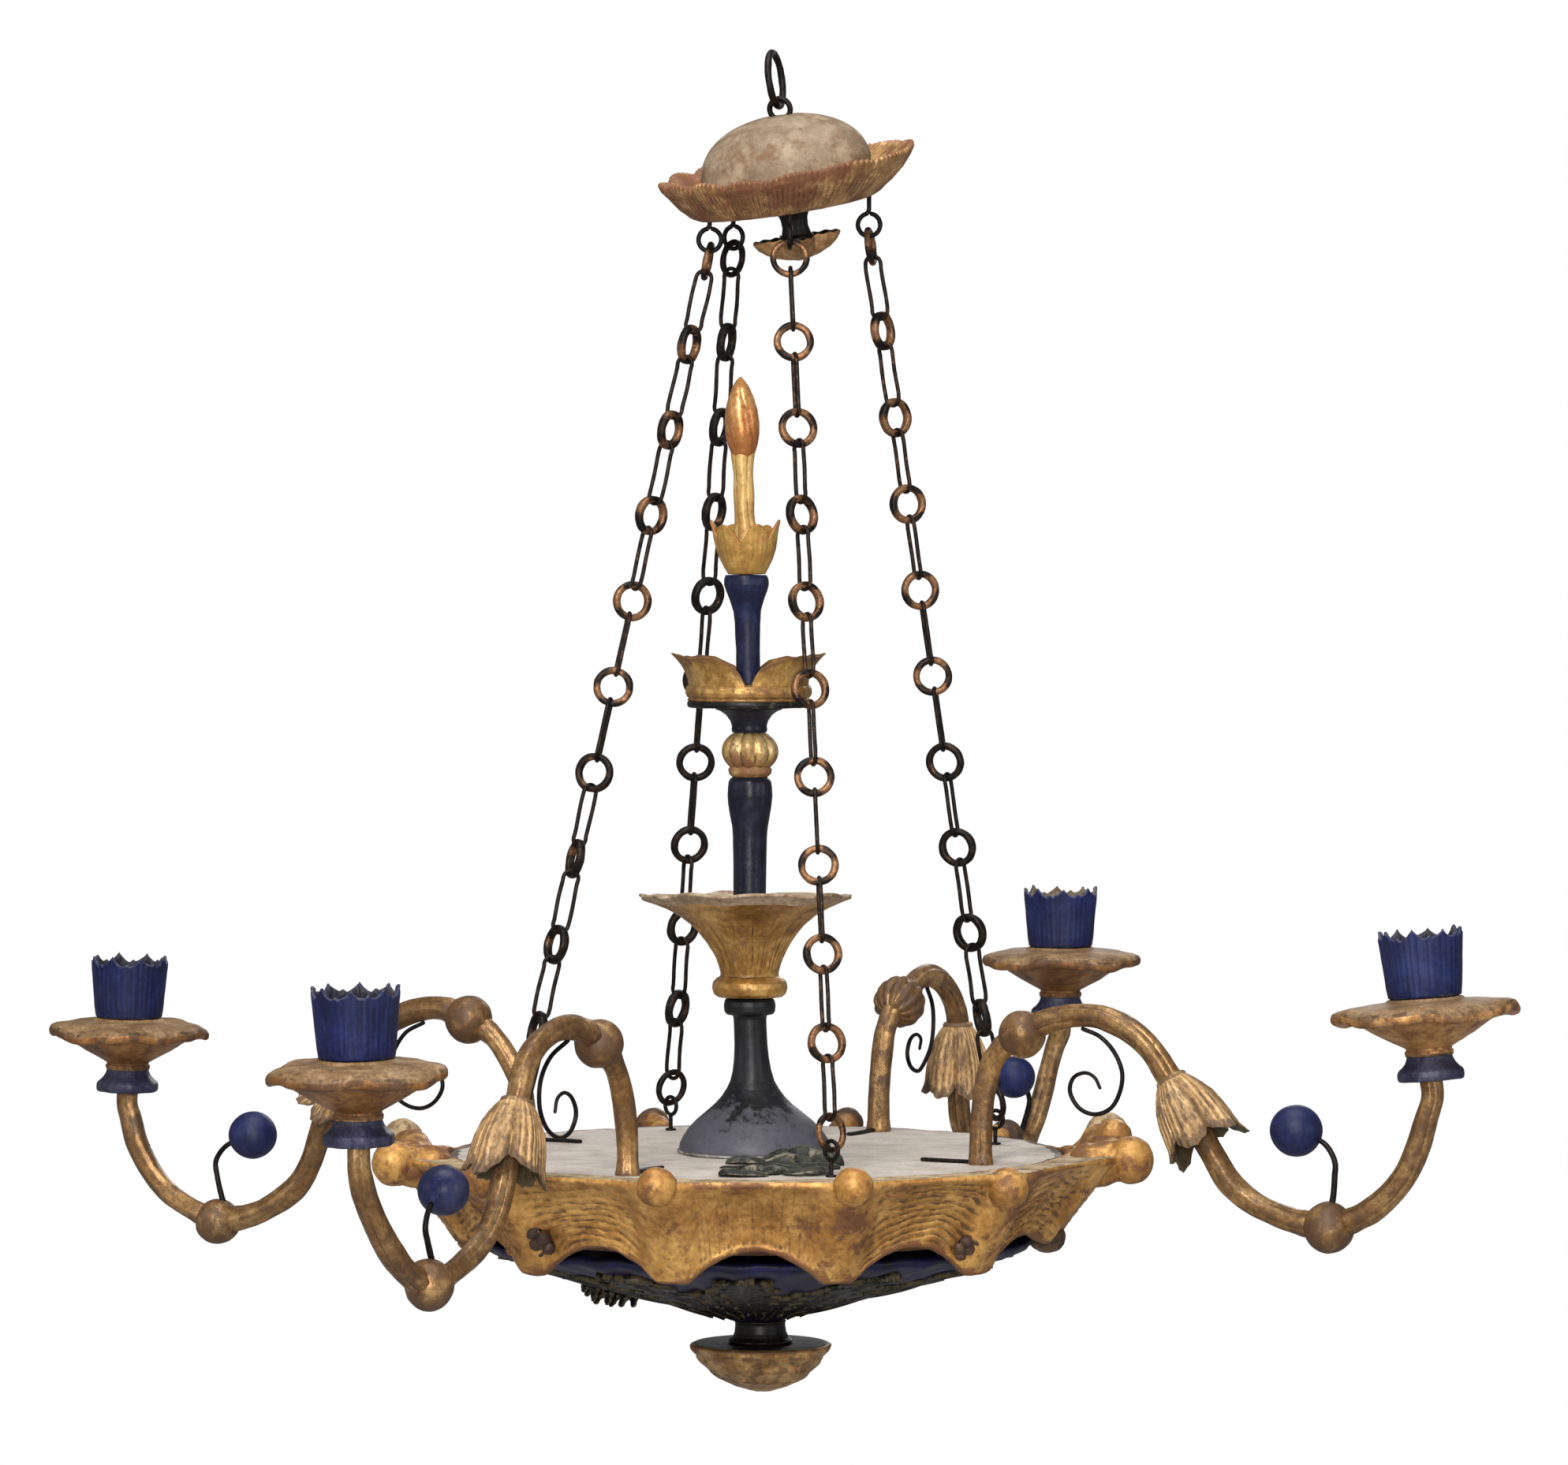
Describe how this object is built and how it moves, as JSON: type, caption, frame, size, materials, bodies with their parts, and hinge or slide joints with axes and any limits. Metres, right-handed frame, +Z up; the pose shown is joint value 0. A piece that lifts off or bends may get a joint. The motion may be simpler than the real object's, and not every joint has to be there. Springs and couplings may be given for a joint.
{
  "type": "chandelier",
  "caption": "Carved wooden chandelier with gilded candle arms on a ribbed tray, a painted turned column, and iron chains up to a domed canopy with a hanging ring.",
  "frame": {"origin": "inner top of the suspension ring, where the ceiling hook carries the chandelier", "axes": "+Z up, out of the top of the ring; +X along arm 1, +Y along arm 2, so the arms point along the axes. The front seen in the picture faces 28.5 degrees from -Y towards +X"},
  "size_m": [1.1761, 1.1422, 0.954],
  "materials": {
    "iron": "dark forged iron, satin",
    "chain_iron": "dark iron with worn bronze-coloured gilding",
    "gesso": "worn gesso over wood, matte",
    "gilt": "worn gold leaf over red-brown bole on carved wood",
    "gold": "brighter gold leaf on carved wood",
    "blue": "worn ultramarine paint on wood, matte",
    "black": "blue-black paint on turned wood, matte",
    "board": "grey dusty paint on a board, matte"
  },
  "bodies": {
    "ring": {"suspension_ring": "iron"},
    "canopy": {"eye_bolt": "iron", "canopy_dome": "gesso", "canopy_rim": "gilt", "canopy_pendant": "gilt", "canopy_hook_1": "iron", "canopy_hook_2": "iron", "canopy_hook_3": "iron", "canopy_hook_4": "iron"},
    "top_ring_1": {"chain_1_ring": "chain_iron"},
    "chain_1": {"chain_1": "chain_iron"},
    "top_ring_2": {"chain_2_ring": "chain_iron"},
    "chain_2": {"chain_2": "chain_iron"},
    "top_ring_3": {"chain_3_ring": "chain_iron"},
    "chain_3": {"chain_3": "chain_iron"},
    "top_ring_4": {"chain_4_ring": "chain_iron"},
    "chain_4": {"chain_4": "chain_iron"},
    "end_ring": {"chain_2_end_ring": "chain_iron"},
    "tray": {"tray_eyelet_1": "iron", "tray_eyelet_2": "iron", "tray_eyelet_3": "iron", "tray_eyelet_4": "iron", "tray_board": "board", "tray_apron": "gilt", "tray_bowl": "blue", "bottom_finial": "gilt", "column_base": "black", "flower_bowl": "gold", "column_shaft": "blue", "leaf_plate": "gold", "upper_shaft": "blue", "flame_bud": "gold", "arm_1_inner": "gilt", "arm_1_husk": "gilt", "arm_1_drip_pan": "gilt", "arm_1_candle_cup": "blue", "arm_1_outer": "gilt", "arm_1_berry": "blue", "arm_1_scroll": "iron", "arm_2_inner": "gilt", "arm_2_husk": "gilt", "arm_2_drip_pan": "gilt", "arm_2_candle_cup": "blue", "arm_2_outer": "gilt", "arm_2_berry": "blue", "arm_2_scroll": "iron", "arm_3_inner": "gilt", "arm_3_husk": "gilt", "arm_3_drip_pan": "gilt", "arm_3_candle_cup": "blue", "arm_3_outer": "gilt", "arm_3_berry": "blue", "arm_3_scroll": "iron", "arm_4_inner": "gilt", "arm_4_husk": "gilt", "arm_4_drip_pan": "gilt", "arm_4_candle_cup": "blue", "arm_4_outer": "gilt", "arm_4_berry": "blue", "arm_4_scroll": "iron"}
  },
  "joints": [
    {"name": "ring_swing", "type": "hinge", "parent": "ring", "child": "canopy", "pos_m": [0.0039, 0.00097, -0.03527], "axis": [-0.2419, 0.9703, 0], "range_deg": [-12, 12]},
    {"name": "chain_2_sway_side", "type": "hinge", "parent": "canopy", "child": "top_ring_2", "pos_m": [-0.04682, 0.02692, -0.1338], "axis": [0, 1, 0], "range_deg": [-4, 4]},
    {"name": "chain_2_sway_fore", "type": "hinge", "parent": "top_ring_2", "child": "chain_2", "pos_m": [-0.04984, 0.02952, -0.15233], "axis": [1, 0, 0], "range_deg": [-4, 4]},
    {"name": "chain_1_sway_side", "type": "hinge", "parent": "canopy", "child": "top_ring_1", "pos_m": [0.05248, 0.0467, -0.1263], "axis": [0, 1, 0], "range_deg": [-4, 4]},
    {"name": "chain_1_sway_fore", "type": "hinge", "parent": "top_ring_1", "child": "chain_1", "pos_m": [0.05428, 0.04913, -0.14501], "axis": [1, 0, 0], "range_deg": [-4, 4]},
    {"name": "chain_3_sway_side", "type": "hinge", "parent": "canopy", "child": "top_ring_3", "pos_m": [-0.03243, -0.03354, -0.1384], "axis": [0, 1, 0], "range_deg": [-4, 4]},
    {"name": "chain_3_sway_fore", "type": "hinge", "parent": "top_ring_3", "child": "chain_3", "pos_m": [-0.03543, -0.03656, -0.15687], "axis": [1, 0, 0], "range_deg": [-4, 4]},
    {"name": "chain_4_sway_side", "type": "hinge", "parent": "canopy", "child": "top_ring_4", "pos_m": [0.03414, -0.03836, -0.1378], "axis": [0, 1, 0], "range_deg": [-4, 4]},
    {"name": "chain_4_sway_fore", "type": "hinge", "parent": "top_ring_4", "child": "chain_4", "pos_m": [0.03669, -0.04124, -0.15636], "axis": [1, 0, 0], "range_deg": [-4, 4]},
    {"name": "tray_level_fore", "type": "hinge", "parent": "chain_2", "child": "end_ring", "pos_m": [-0.14488, 0.11108, -0.73497], "axis": [1, 0, 0], "range_deg": [-5, 5]},
    {"name": "tray_level_side", "type": "hinge", "parent": "end_ring", "child": "tray", "pos_m": [-0.1479, 0.11368, -0.7535], "axis": [0, 1, 0], "range_deg": [-5, 5]}
  ],
  "couplings": [
    {"joint": "chain_1_sway_side", "follows": "chain_2_sway_side", "ratio": 1},
    {"joint": "chain_1_sway_fore", "follows": "chain_2_sway_fore", "ratio": 1},
    {"joint": "chain_3_sway_side", "follows": "chain_2_sway_side", "ratio": 1},
    {"joint": "chain_3_sway_fore", "follows": "chain_2_sway_fore", "ratio": 1},
    {"joint": "chain_4_sway_side", "follows": "chain_2_sway_side", "ratio": 1},
    {"joint": "chain_4_sway_fore", "follows": "chain_2_sway_fore", "ratio": 1},
    {"joint": "tray_level_fore", "follows": "chain_2_sway_fore", "ratio": -0.2975},
    {"joint": "tray_level_side", "follows": "chain_2_sway_side", "ratio": -0.3475}
  ]
}
